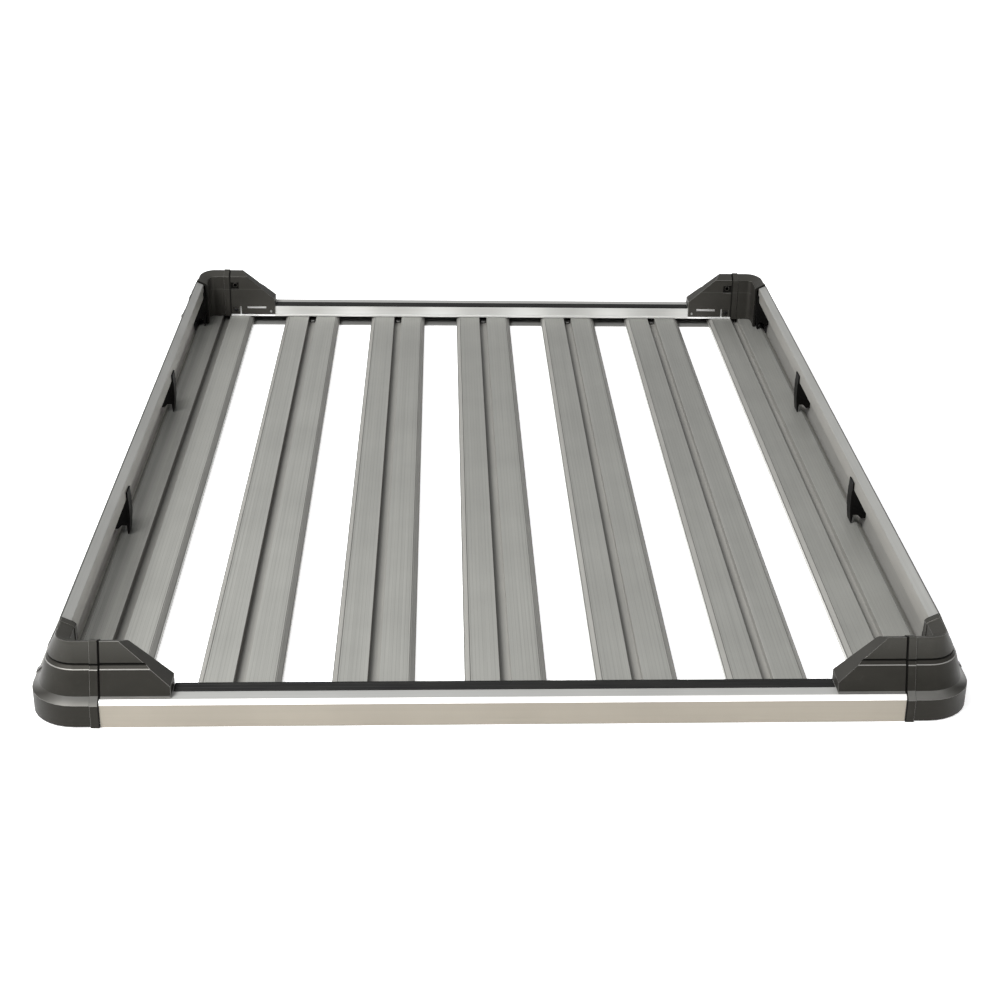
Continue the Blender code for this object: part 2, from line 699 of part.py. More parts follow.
def make_corner_brackets():
    """Cast angle inside each cover: a tongue into each lower rail, and a foot between them."""
    arc_x = HALF_WIDTH - CORNER_RADIUS
    arc_y = HALF_LENGTH - CORNER_RADIUS
    radius = CORNER_RADIUS - BRACKET_INSET
    inner_y = HALF_LENGTH - RAIL_INSET - BOX_DEPTH + RAIL_WALL + BRACKET_CLEARANCE
    inner_x = HALF_WIDTH - RAIL_INSET - SIDE_RAIL_DEPTH + RAIL_WALL + BRACKET_CLEARANCE
    tongue_x = END_SEAM - BRACKET_TONGUE
    tongue_y = SIDE_SEAM - BRACKET_TONGUE
    outline = [(tongue_x, inner_y), (tongue_x, HALF_LENGTH - BRACKET_INSET)]
    for step in range(ARC_STEPS + 1):
        turn = 0.5 * math.pi * (1.0 - step / ARC_STEPS)
        outline.append((arc_x + radius * math.cos(turn), arc_y + radius * math.sin(turn)))
    outline += [
        (HALF_WIDTH - BRACKET_INSET, tongue_y),
        (inner_x, tongue_y),
        (inner_x, inner_y - BRACKET_GUSSET),
        (inner_x - BRACKET_GUSSET, inner_y),
    ]
    low = SLOT_TOP + RAIL_WALL + BRACKET_CLEARANCE
    high = RAIL_TOP - STRIP_SEAT_DROP - RAIL_WALL - GAP
    foot_x = plank_centres()[-1] + PLANK_HALF_WIDTH + BRACKET_FOOT_CLEARANCE
    foot_y = SIDE_SEAM + BRACKET_FOOT_CLEARANCE
    foot_outline = [
        (foot_x, foot_y),
        (HALF_WIDTH - BRACKET_INSET, foot_y),
        (HALF_WIDTH - BRACKET_INSET, arc_y),
        (HALF_WIDTH - BRACKET_INSET - BRACKET_FOOT_TAPER, arc_y + BRACKET_FOOT_REACH),
        (foot_x, arc_y + BRACKET_FOOT_REACH),
    ]
    for name, side, end in corners():
        def place(u, v, w):
            return (side * u, end * v, w)

        bracket = prism(f"corner_bracket_{name}", [outline], place, low, high, CAST)
        foot = prism("foot", [foot_outline], place, *BRACKET_FOOT)
        combine(bracket, foot, "UNION")


def make_rail_joiners():
    """Plugs that join each upper side rail to the corner covers at its ends."""
    hollow = upper_rail_loops()[1]
    centre_x = sum(x for x, _ in hollow) / len(hollow)
    centre_z = sum(z for _, z in hollow) / len(hollow)
    shrink = JOINER_SCALE
    outline = [
        (centre_x + shrink * (x - centre_x), centre_z + shrink * (z - centre_z))
        for x, z in hollow
    ]
    for name, side, end in corners():
        prism(
            f"rail_joiner_{name}",
            [outline],
            lambda u, v, w: (side * u, end * w, v),
            SIDE_SEAM - JOINER_IN_RAIL,
            SIDE_SEAM + JOINER_IN_COVER,
            CAST,
        )


# ---------------------------------------------------------------- side posts

def post_outline():
    """(x, z) of a post: a prong on the plank, a saddle on the lower rail, a grip above."""
    rail_inner = HALF_WIDTH - RAIL_INSET - SIDE_RAIL_DEPTH - GAP
    flange_outer = UPPER_INNER_BOTTOM[0] - GAP
    tip_z = PLANK_TOP + GAP
    seat_z = RAIL_TOP + GAP
    grip_z = UPPER_INNER_BOTTOM[1] - GAP
    hook_inner, hook_outer, hook_top = POST_HOOK
    prong = [
        (POST_INNER + 2.6 * MM, tip_z),
        (POST_INNER + 4.0 * MM, tip_z),
        (POST_INNER + 4.8 * MM, POST_HEEL),
        (POST_INNER + 5.1 * MM, POST_WEB_LOW),
    ]
    saddle = [
        (POST_INNER + 11.5 * MM, POST_WEB_LOW),
        (POST_INNER + 16.5 * MM, POST_HEEL),
        (rail_inner, POST_HEEL),
        (rail_inner, seat_z),
        (POST_SADDLE_TIP[0], seat_z),
        POST_SADDLE_TIP,
        POST_WAIST,
    ]
    grip = [
        (hook_outer, hook_top),
        (hook_inner, hook_top),
        (UPPER_OUTER_BOTTOM[0] + 2.0 * GAP, grip_z),
        (flange_outer, grip_z),
        (flange_outer, POST_FLANGE_TOP),
        (flange_outer - POST_FLANGE, POST_FLANGE_TOP),
        (flange_outer - POST_FLANGE - GAP, grip_z),
    ]
    inner_face = [
        (POST_INNER, POST_WAIST[1]),
        (POST_INNER, POST_SADDLE_TIP[1]),
        (POST_INNER + 1.6 * MM, POST_HEEL),
    ]
    return prong + saddle + grip + inner_face


def make_side_posts():
    for side_name, side in (("left", -1), ("right", 1)):
        middle = [(station, MIDDLE_POST_HALF_WIDTH) for station in MIDDLE_POST_STATIONS[side_name]]
        first = (-END_POST_STATION, END_POST_HALF_WIDTH)
        last = (END_POST_STATION, END_POST_HALF_WIDTH)
        for number, (station, half_width) in enumerate([first, *middle, last], start=1):
            prism(
                f"side_post_{side_name}_{number}",
                [post_outline()],
                lambda u, v, w: (side * u, w, v),
                station - half_width,
                station + half_width,
                BLACK_PLASTIC,
            )


# ---------------------------------------------------------------- fasteners

def make_plank_bolts():
    """Hexagon-headed bolts in the planks' channels, down through the rails' flanges."""
    head_low = CHANNEL_FLOOR + GAP
    head_high = head_low + BOLT_HEAD_HEIGHT
    for end_name, sign in (("front", -1), ("rear", 1)):
        for number, centre in bolted_planks():
            name = f"plank_bolt_{end_name}_{number}"
            turned(
                name, "z", (centre, bolt_line(sign), 0.0), 6,
                [(BOLT_SHANK_RADIUS, BOLT_SHANK_FOOT), (BOLT_SHANK_RADIUS, head_low),
                 (BOLT_HEAD_RADIUS, head_low), (BOLT_HEAD_RADIUS, head_high - BOLT_HEAD_CHAMFER),
                 (BOLT_HEAD_RADIUS - BOLT_HEAD_CHAMFER, head_high)],
                STEEL,
            )


def make_wing_fasteners():
    """A pan-headed screw and a small rivet through each wing into the rail."""
    face = HALF_LENGTH - END_INNER_INSET
    shank_end = face + INNER_WALL + RAIL_WALL + GAP
    kinds = (
        ("wing_screw", SCREW_X, SCREW_Z, SCREW_HEAD, face + RECESS_DEPTH - GAP, DARK_STEEL),
        ("wing_rivet", RIVET_X, RIVET_Z, RIVET_HEAD, face - GAP, STEEL),
    )
    for corner, side, end in corners():
        for kind, x, z, head, seat, finish in kinds:
            rings = [(radius, end * (seat - height)) for radius, height in head]
            rings += [(SCREW_SHANK_RADIUS, end * seat), (SCREW_SHANK_RADIUS, end * shank_end)]
            turned(f"{kind}_{corner}", "y", (side * x, 0.0, z), 12, rings, finish)


def place_pieces():
    """Put each piece's origin at its own middle, and hang the pieces on one empty."""
    tray = bpy.data.objects.new("roof_cargo_basket", None)
    bpy.context.scene.collection.objects.link(tray)
    for item in list(bpy.data.objects):
        if item.type != "MESH":
            continue
        points = [vertex.co for vertex in item.data.vertices]
        low = Vector([min(point[axis] for point in points) for axis in range(3)])
        high = Vector([max(point[axis] for point in points) for axis in range(3)])
        middle = (low + high) / 2.0
        item.data.transform(Matrix.Translation(-middle))
        item.location = middle
        item.parent = tray


def main():
    clear_scene()
    make_planks()
    make_end_rails()
    make_rubber_strips()
    make_side_rails()
    make_corner_covers()
    make_wings()
    make_corner_brackets()
    make_rail_joiners()
    make_side_posts()
    make_plank_bolts()
    make_wing_fasteners()
    place_pieces()


main()
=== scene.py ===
"""Looks of the roof cargo basket: satin aluminium, charcoal mouldings, rubber and steel.

Lengths are in metres, X runs to the right, Y to the rear and Z up, and colours are linear RGB.
"""

import math

import bmesh
import bpy
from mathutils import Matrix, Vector


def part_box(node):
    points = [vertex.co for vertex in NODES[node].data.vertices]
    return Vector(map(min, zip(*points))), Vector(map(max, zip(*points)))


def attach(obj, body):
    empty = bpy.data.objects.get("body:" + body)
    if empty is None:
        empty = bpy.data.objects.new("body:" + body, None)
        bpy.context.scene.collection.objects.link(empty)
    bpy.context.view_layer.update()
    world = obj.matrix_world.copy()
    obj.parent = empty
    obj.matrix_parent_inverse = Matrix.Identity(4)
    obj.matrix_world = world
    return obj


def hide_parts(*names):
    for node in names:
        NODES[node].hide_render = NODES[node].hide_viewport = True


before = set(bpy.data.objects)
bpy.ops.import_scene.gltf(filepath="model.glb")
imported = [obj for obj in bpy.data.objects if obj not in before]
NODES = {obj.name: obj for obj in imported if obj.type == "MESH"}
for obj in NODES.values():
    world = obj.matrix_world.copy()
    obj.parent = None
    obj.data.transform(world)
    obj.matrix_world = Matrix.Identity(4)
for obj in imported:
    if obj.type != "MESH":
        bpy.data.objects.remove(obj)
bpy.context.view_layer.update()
MM = 0.001
X, Y, Z = range(3)
CORNERS = [f"{end}_{side}" for end in ("front", "rear") for side in ("left", "right")]


# ---------------------------------------------------------------- shader helpers

def add_node(tree, kind, inputs=None, **settings):
    """A new node; each input is given a value, or a socket to be linked to it."""
    node = tree.nodes.new(kind)
    for key, value in settings.items():
        setattr(node, key, value)
    for key, value in (inputs or {}).items():
        if isinstance(value, bpy.types.NodeSocket):
            tree.links.new(value, node.inputs[key])
        else:
            node.inputs[key].default_value = value
    return node


class Finish:
    """A Principled material with short calls for adding procedural detail."""

    def __init__(self, name, roughness, metallic=0.0):
        self.material = bpy.data.materials.new(name)
        self.material.use_nodes = True
        self.tree = self.material.node_tree
        self.shader = self.tree.nodes["Principled BSDF"]
        self.set("Roughness", roughness)
        self.set("Metallic", metallic)
        self.relief = None
        self.coordinates = self.add("ShaderNodeTexCoord")
        self.place = self.coordinates.outputs["Object"]

    def set(self, name, value):
        self.shader.inputs[name].default_value = value

    def add(self, kind, inputs=None, **settings):
        return add_node(self.tree, kind, inputs, **settings)

    def math(self, operation, first, second=0.0):
        return self.add("ShaderNodeMath", {0: first, 1: second}, operation=operation).outputs[0]

    def average(self, first, second, share=0.5):
        """Two values blended; share is the part that the first has."""
        return self.math(
            "ADD", self.math("MULTIPLY", first, share), self.math("MULTIPLY", second, 1.0 - share))

    def noise(self, scale, detail=3.0, roughness=0.55):
        """Noise over the piece; scale is one number or one for each axis, per metre."""
        if isinstance(scale, (int, float)):
            scale = (scale, scale, scale)
        stretched = self.add("ShaderNodeMapping", {"Vector": self.place, "Scale": scale})
        made = self.add("ShaderNodeTexNoise", {
            "Vector": stretched.outputs[0], "Scale": 1.0, "Detail": detail, "Roughness": roughness,
        })
        return made.outputs["Fac"]

    def spread(self, value, low, high, out_low=0.0, out_high=1.0):
        """The value carried from one range to another, and held at its ends."""
        made = self.add("ShaderNodeMapRange", {
            "Value": value, "From Min": low, "From Max": high,
            "To Min": out_low, "To Max": out_high,
        })
        return made.outputs["Result"]

    def axis(self, name):
        return self.add("ShaderNodeSeparateXYZ", {0: self.place}).outputs[name]

    def mix(self, share, first, second, blend="MIX"):
        """Colours mixed by a share; each is a triple or a socket."""
        node = self.add("ShaderNodeMix", data_type="RGBA", blend_type=blend)
        for key, value in ((0, share), (6, first), (7, second)):
            if isinstance(value, bpy.types.NodeSocket):
                self.tree.links.new(value, node.inputs[key])
            elif isinstance(value, tuple):
                node.inputs[key].default_value = (*value, 1.0)
            else:
                node.inputs[key].default_value = value
        return node.outputs[2]

    def dimmed(self, colour, brightness):
        grey = self.add("ShaderNodeCombineColor", {0: brightness, 1: brightness, 2: brightness})
        return self.mix(1.0, colour, grey.outputs[0], "MULTIPLY")

    def colour(self, socket):
        self.tree.links.new(socket, self.shader.inputs["Base Color"])

    def rough(self, socket):
        self.tree.links.new(socket, self.shader.inputs["Roughness"])

    def bump(self, height, depth, strength):
        """Add surface relief; depth is its full height in metres."""
        made = self.add(
            "ShaderNodeBump", {"Height": height, "Distance": depth, "Strength": strength})
        if self.relief is not None:
            self.tree.links.new(self.relief, made.inputs["Normal"])
        self.relief = made.outputs["Normal"]
        self.tree.links.new(self.relief, self.shader.inputs["Normal"])


def lighter(colour, share):
    return tuple(min(1.0, channel * (1.0 + share)) for channel in colour)


def darker(colour, share):
    return tuple(channel * (1.0 - share) for channel in colour)


# ---------------------------------------------------------------- painted light and shade over the planks

CHANNEL_TONE = (-5.5 * MM, 4.5 * MM, 0.45, 1.0)     # places across a channel, and the painted shade's brightness there
RAIL_TONE = (-481.0 * MM, -467.0 * MM, 0.36, 1.0)   # painted shadow of the left side rail, beside it
RIGHTWARD_TONE = (-350.0 * MM, 300.0 * MM, 1.0, 0.83)  # painted fall of light, from left to right over the planks
REARWARD_TONE = (-550.0 * MM, -50.0 * MM, 1.0, 0.93)   # painted fall of light, from front to rear over the planks
PLANKS_LEFT_OF_MIDDLE = 3.5           # in pitches, from the middle to the outermost plank's edge


def channel_shade(made):
    """Painted shade across a plank's channel, dimmer beside its left wall where that wall's shadow
    falls.
    """
    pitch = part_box("plank_2")[0].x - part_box("plank_1")[0].x
    shifted = made.math("ADD", made.axis("X"), PLANKS_LEFT_OF_MIDDLE * pitch)
    across = made.math("SUBTRACT", made.math("MODULO", shifted, pitch), 0.5 * pitch)
    return made.spread(across, *CHANNEL_TONE)


def rail_shade(made):
    """Painted shadow across the outermost left land, dimmer beside the side rail."""
    return made.spread(made.axis("X"), *RAIL_TONE)


def land_shade(made):
    """Painted fall of light on the planks' lands, a little dimmer to the right and to the rear,
    with the side rail's painted shadow.
    """
    rightward = made.spread(made.axis("X"), *RIGHTWARD_TONE)
    rearward = made.spread(made.axis("Y"), *REARWARD_TONE)
    return made.math("MULTIPLY", rail_shade(made), made.math("MULTIPLY", rightward, rearward))


# ---------------------------------------------------------------- materials

DIE_LINES = (1500.0, 3.0)             # streaks across and along an extrusion, per metre
DIE_BANDS = (260.0, 1.2)
TOP_LIGHTENING_HEIGHTS = (62.0 * MM, 88.0 * MM)  # where the mouldings' lightening towards the top starts and ends
TURNED_SIDEWAYS = (0.22, 0.60)        # sideways share of the normal, where the painted side shade comes in
MOULDING_GLOSS = (1.0, 0.96, 0.87, 1.0)  # tint of the mouldings' reflections


def anodised(name, colour, along, roughness, streaks, mottling=0.05, metallic=0.35, shade=None):
    """Satin anodised extrusion with die lines running along one axis."""
    made = Finish(name, roughness, metallic)
    scales = []
    for across_scale, along_scale in (DIE_LINES, DIE_BANDS):
        scale = [across_scale, across_scale, across_scale]
        scale[along] = along_scale
        scales.append(tuple(scale))
    die_lines = made.noise(scales[0], 2.0)
    bands = made.noise(scales[1])
    cloud = made.noise(9.0)
    grain = made.noise(5200.0, 1.0)
    streaked = made.average(die_lines, bands)
    base = made.mix(
        made.spread(streaked, 0.36, 0.64), darker(colour, streaks), lighter(colour, streaks))
    brightness = made.spread(cloud, 0.3, 0.7, 1.0 - mottling, 1.0 + mottling)
    if shade:
        brightness = made.math("MULTIPLY", brightness, shade(made))
    made.colour(made.dimmed(base, brightness))
    made.rough(made.spread(streaked, 0.3, 0.7, roughness - 0.07, roughness + 0.07))
    made.bump(die_lines, 0.02 * MM, 0.6)
    made.bump(grain, 0.01 * MM, 0.4)
    return made.material


def moulded(name, colour, worn, roughness, specular, grain_depth=0.03 * MM, top_lightening=0.0, shaded_sides=None):
    """Moulded plastic: fine spark-eroded grain, faint flow marks, and rubbed high spots.

    The last two arguments are how far the colour goes over to the worn one towards the
    cover's top, and the colour of painted shade on the parts that face left or right.
    """
    made = Finish(name, roughness)
    made.set("Specular IOR Level", specular)
    made.set("Specular Tint", MOULDING_GLOSS)
    grain = made.noise(1500.0, 2.0)
    flow = made.noise((22.0, 22.0, 60.0), 4.0)
    dust = made.noise(75.0, 5.0, 0.7)
    base = made.mix(made.spread(flow, 0.35, 0.65), darker(colour, 0.14), colour)
    rubbed = made.spread(dust, 0.58, 0.80, 0.0, 0.35)
    lightened_top = made.spread(made.axis("Z"), *TOP_LIGHTENING_HEIGHTS, 0.0, top_lightening)
    finished = made.mix(made.math("ADD", rubbed, lightened_top), base, worn)
    # Painted shade on the parts that face left or right.
    if shaded_sides:
        normal = made.add("ShaderNodeSeparateXYZ", {0: made.coordinates.outputs["Normal"]})
        turned = made.spread(made.math("ABSOLUTE", normal.outputs["X"]), *TURNED_SIDEWAYS)
        finished = made.mix(turned, finished, shaded_sides)
    made.colour(finished)
    mixed = made.math("ADD", grain, flow)
    made.rough(made.spread(mixed, 0.7, 1.3, roughness - 0.08, roughness + 0.08))
    made.bump(grain, grain_depth, 0.8)
    made.bump(flow, 0.25 * MM, 0.10)
    return made.material


def rubber(name, colour, bloomed):
    """Matt rubber with a pale bloom along it and a fine speckle."""
    made = Finish(name, 0.62)
    made.set("Specular IOR Level", 0.22)
    speckle = made.noise(2600.0, 2.0)
    bloom = made.noise((14.0, 60.0, 60.0), 4.0)
    made.colour(made.mix(made.spread(bloom, 0.35, 0.7), colour, bloomed))
    made.rough(made.spread(speckle, 0.3, 0.7, 0.52, 0.72))
    made.bump(speckle, 0.04 * MM, 0.8)
    return made.material


def machined(name, colour, roughness, metallic=1.0, scratch=0.2):
    """Turned, rolled or cast metal for small parts, with fine crossing scratches."""
    made = Finish(name, roughness, metallic)
    across = made.noise((2600.0, 300.0, 2600.0), 2.0)
    spots = made.noise(900.0)
    mixed = made.average(across, spots, 0.6)
    made.colour(made.mix(
        made.spread(mixed, 0.35, 0.65), darker(colour, scratch), lighter(colour, scratch)))
    made.rough(made.spread(mixed, 0.3, 0.7, roughness - 0.08, roughness + 0.10))
    made.bump(across, 0.02 * MM, 0.5)
    return made.material


# Each group's names give the places of its finishes in the list that a piece gets.

(PLANK_TOP, PLANK_LEFT, PLANK_RIGHT, PLANK_CHANNEL, PLANK_UNDER, PLANK_LINE, PLANK_RIB) = range(7)
PLANK_FINISHES = [
    # The lands carry the painted fall of light and the rail's painted shadow; the channel carries
    # its painted shade.
    anodised("plank_anodised", (0.375, 0.375, 0.350), Y, 0.40, 0.07, shade=land_shade),
    # The shoulders are one metal in a lit left copy and a shaded right copy: painted light and
    # shade.
    anodised("plank_left_shoulder", (0.34, 0.335, 0.312), Y, 0.34, 0.07, shade=rail_shade),
    anodised("plank_right_shoulder", (0.235, 0.232, 0.216), Y, 0.38, 0.07),
    anodised("plank_channel", (0.34, 0.335, 0.312), Y, 0.42, 0.08, shade=channel_shade),
    anodised("plank_underside", (0.22, 0.22, 0.21), Y, 0.5, 0.16),
    # Painted shade in the deepest edge groove and at the foot of each shoulder.
    anodised("plank_edge_line", (0.14, 0.138, 0.128), Y, 0.45, 0.10),
    # Painted shade on the rib grooves' sloping sides, so that the fine grooves show.
    anodised("plank_rib_line", (0.33, 0.329, 0.306), Y, 0.42, 0.08, shade=land_shade),
]

# Painted shade lines along the end rails' foot and the upper side rails' outer top edge and inner
# foot.
LINE_FINISH = anodised("rail_edge_line", (0.10, 0.10, 0.095), Y, 0.5, 0.15)

(END_FACE, END_BEVEL, END_TOP, END_INNER, END_INSIDE, END_LINE, END_UNDER_WING) = range(7)
# One metal in lit and shaded copies: face, top and inner wall each at its own painted brightness,
# the bevel a painted highlight, and the stretch under the wings painted light inside the wings'
# shade.
END_RAIL_FINISHES = [
    anodised("end_rail_face", (0.268, 0.243, 0.201), X, 0.42, 0.03),
    anodised("end_rail_bevel", (0.92, 0.91, 0.89), X, 0.30, 0.03),
    anodised("end_rail_top", (0.44, 0.44, 0.425), X, 0.40, 0.06),
    anodised("end_rail_inner", (0.60, 0.60, 0.58), X, 0.55, 0.05, 0.05, 0.1),
    anodised("end_rail_inside", (0.26, 0.26, 0.25), X, 0.5, 0.15),
    LINE_FINISH,
    anodised("end_rail_under_wing", (0.95, 0.95, 0.94), X, 0.33, 0.05),
]

(SIDE_TOP, SIDE_WALL, SIDE_LINE, SIDE_LOWER_INNER, SIDE_LOWER_FACE) = range(5)
SIDE_TOP_FINISH = anodised("side_rail_anodised", (0.36, 0.36, 0.345), Y, 0.40, 0.07)
SIDE_WALL_FINISH = anodised("side_rail_wall", (0.35, 0.34, 0.315), Y, 0.42, 0.10)
LOWER_FACE_FINISH = anodised("lower_rail_face", (0.235, 0.23, 0.215), Y, 0.42, 0.05)
# The lower rails' inner walls as a lit left copy and a shaded right copy of one metal: painted
# light and shade.
LOWER_INNER_FINISHES = {
    "left": anodised("lower_left_rail_wall", (0.56, 0.55, 0.52), Y, 0.45, 0.12, 0.05, 0.1),
    "right": anodised("lower_right_rail_wall", (0.30, 0.294, 0.276), Y, 0.45, 0.12, 0.05, 0.1),
}

(COVER_WALL, COVER_EDGE, COVER_GROOVE, COVER_LEDGE, COVER_SLANT,
 COVER_INNER, COVER_SHADE, COVER_STEP_HIGHLIGHT, COVER_SKIRT) = range(9)
COVER_FINISHES = [
    moulded(
        "cover_moulding", (0.0140, 0.0133, 0.0112), (0.038, 0.037, 0.033), 0.46, 0.30,
        top_lightening=0.85),
    # Painted highlight on the rounded outer edges and the bead's crest, with the moulding's random
    # rubbed spots.
    moulded("cover_edge_highlight", (0.20, 0.197, 0.188), (0.27, 0.268, 0.255), 0.34, 0.5),
    # Painted shadow in the groove and along the joints.
    moulded("cover_groove", (0.0025, 0.0025, 0.0023), (0.004, 0.004, 0.004), 0.65, 0.08),
    # The ledge as a lit copy of the moulding: painted highlight where it faces the front, painted
    # shade where it faces left or right.
    moulded(
        "cover_ledge", (0.104, 0.103, 0.098), (0.140, 0.138, 0.132), 0.42, 0.40,
        shaded_sides=(0.016, 0.0152, 0.013)),
    # The wing's slanted face as a lit copy of the moulding: painted light.
    moulded("cover_slant", (0.033, 0.032, 0.029), (0.045, 0.044, 0.041), 0.46, 0.32),
    # The inner walls as a lit copy of the moulding: painted light in their shade.
    moulded("cover_inner", (0.0295, 0.0282, 0.0250), (0.034, 0.033, 0.030), 0.50, 0.32),
    # Painted shade on inner walls beside the joints and round the recess floors.
    moulded("cover_inner_shade", (0.010, 0.0096, 0.0086), (0.016, 0.016, 0.015), 0.55, 0.2),
    # Painted highlight line standing in for a faint step.
    moulded("cover_inner_step_highlight", (0.048, 0.047, 0.043), (0.06, 0.059, 0.055), 0.46, 0.32),
    moulded("cover_skirt", (0.0098, 0.0090, 0.0072), (0.026, 0.025, 0.022), 0.46, 0.22),
]

POST_FINISH = moulded(
    "post_moulding", (0.0045, 0.0045, 0.0044), (0.014, 0.014, 0.014), 0.42, 0.07, 0.02 * MM)
RUBBER_FINISH = rubber("strip_rubber", (0.008, 0.008, 0.008), (0.015, 0.015, 0.014))
BOLT_FINISH = machined("bolt_steel", (0.16, 0.16, 0.155), 0.45)
SCREW_FINISH = machined("screw_black_zinc", (0.03, 0.03, 0.031), 0.45)
RIVET_FINISH = machined("rivet_aluminium", (0.30, 0.30, 0.29), 0.42)
CAST_FINISH = machined("cast_black_coated", (0.020, 0.020, 0.021), 0.58, 0.0, 0.25)


# ---------------------------------------------------------------- mesh helpers

PLAIN, EASED = 0, 1                   # material index of a node's own faces, and of rounded edges
EASED_FROM = math.radians(24.0)       # outer edges that turn by more are rounded
EASE_SEGMENTS = 2
WELD = 0.002 * MM
ON_PLANE = 0.001 * MM                 # points this close to a cut are on it
FLAT_WITHIN = math.radians(0.8)


def new_piece(name, bm, materials, replaced, sharp=32.0):
    """Link a finished mesh as a piece of the object that rides on its one body."""
    bmesh.ops.recalc_face_normals(bm, faces=bm.faces)
    mesh = bpy.data.meshes.new(name)
    bm.to_mesh(mesh)
    bm.free()
    for material in materials:
        mesh.materials.append(material)
    mesh.shade_smooth()
    mesh.set_sharp_from_angle(angle=math.radians(sharp))
    piece = bpy.data.objects.new(name, mesh)
    bpy.context.scene.collection.objects.link(piece)
    weighted = piece.modifiers.new("even_shading", "WEIGHTED_NORMAL")
    weighted.keep_sharp = True
    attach(piece, "root")
    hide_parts(*replaced)


def eased_copy(node, radius):
    """The node's own shape with its sharp outer edges rounded by a small radius."""
    bm = bmesh.new()
    bm.from_mesh(NODES[node].data)
    bmesh.ops.remove_doubles(bm, verts=bm.verts, dist=WELD)
    bmesh.ops.dissolve_limit(bm, angle_limit=FLAT_WITHIN, verts=bm.verts, edges=bm.edges)
    for face in bm.faces:
        face.material_index = PLAIN
    outer = [edge for edge in bm.edges if edge.calc_face_angle_signed(0.0) > EASED_FROM]
    bmesh.ops.bevel(
        bm, geom=outer, offset=radius, offset_type="OFFSET", segments=EASE_SEGMENTS,
        profile=0.5, affect="EDGES", clamp_overlap=True, material=EASED,
    )
    return bm


def score(bm, axis, place):
    """Cut the faces along a plane square to one axis, so a strip can take its own finish."""
    normal = Vector((0.0, 0.0, 0.0))
    normal[axis] = 1.0
    bmesh.ops.bisect_plane(
        bm, geom=bm.verts[:] + bm.edges[:] + bm.faces[:], dist=ON_PLANE,
        plane_co=place * normal, plane_no=normal,
    )


def extruded(section, place, start, end):
    """A closed bar from a flat section and the two places it runs between."""
    bm = bmesh.new()
    first = [bm.verts.new(place(u, v, start)) for u, v in section]
    last = [bm.verts.new(place(u, v, end)) for u, v in section]
    bm.faces.new(first)
    bm.faces.new(last)
    count = len(section)
    for index in range(count):
        after = (index + 1) % count
        bm.faces.new((first[index], first[after], last[after], last[index]))
    bmesh.ops.recalc_face_normals(bm, faces=bm.faces)
    return bm


# ---------------------------------------------------------------- planks

CHANNEL_HALF = 6.35 * MM
SHOULDER_WIDTH = 5.4 * MM
SHOULDER_DROP = 4.5 * MM
PLANK_WALL = 1.9 * MM
CHANNEL_FLOOR = 2.4 * MM
PLANK_LIP = 8.0 * MM
PLANK_EASE = 0.5 * MM
PLANK_CORNER = 0.3 * MM               # small chamfer at the wall's corners
SHOULDER_LINE = 1.1 * MM              # painted shade line at the foot of a shoulder
RIB_PITCH = 3.9 * MM
RIB_HALF = 0.30 * MM
RIB_DEPTH = 0.11 * MM
EDGE_LINE_HALF = 0.40 * MM
EDGE_LINES = (                        # distance from the plank's middle, and depth
    (33.5 * MM, 0.18 * MM),
    (37.9 * MM, 0.22 * MM),
    (40.2 * MM, 0.50 * MM),
)
DARK_LINE = EDGE_LINES[-1][0]
DARK_LINE_REACH = 0.5 * MM
CHANNEL_REACH = 6.8 * MM              # from the middle to beyond the channel's eased edge
LAND_REACH = 40.9 * MM                # from the middle to just inside a land's outer edge
LAND_DEPTH = 0.4 * MM                 # below the top, for a land and its ribs


def groove(middle, half, depth, top):
    """A V groove's three points along a land."""
    return [(middle - half, top), (middle, top - depth), (middle + half, top)]


def land_line(start, stop, top):
    """Top of one land from its channel edge to its outer edge, with fine grooves."""
    points = [(start, top)]
    first_line = EDGE_LINES[0][0]
    count = int((first_line - start) / RIB_PITCH)
    step = (first_line - start) / count
    for index in range(1, count):
        points += groove(start + index * step, RIB_HALF, RIB_DEPTH, top)
    for line, depth in EDGE_LINES:
        points += groove(line, EDGE_LINE_HALF, depth, top)
    points.append((stop, top))
    return points


def plank_section(half_width, low, top):
    """Right half of the plank's section, from the channel's floor round to its underside."""
    land = half_width - SHOULDER_WIDTH
    shoulder = top - SHOULDER_DROP
    wall = PLANK_WALL
    return [
        (CHANNEL_HALF, low + CHANNEL_FLOOR),
        (CHANNEL_HALF, top - PLANK_EASE),
        *land_line(CHANNEL_HALF + PLANK_EASE, land - PLANK_EASE, top),
        (land + 0.3 * MM, top - 0.35 * MM),
        (half_width - SHOULDER_LINE, shoulder + 1.05 * MM),
        (half_width - 0.2 * MM, shoulder + PLANK_CORNER),
        (half_width, shoulder - PLANK_CORNER),
        (half_width, low + PLANK_CORNER),
        (half_width - PLANK_CORNER, low),
        (half_width - PLANK_LIP, low),
        (half_width - PLANK_LIP, low + wall),
        (half_width - wall, low + wall),
        (half_width - wall, shoulder - 0.9 * MM),
        (land - 0.7 * MM, top - wall),
        (CHANNEL_HALF + wall, top - wall),
        (CHANNEL_HALF + wall, low),
    ]


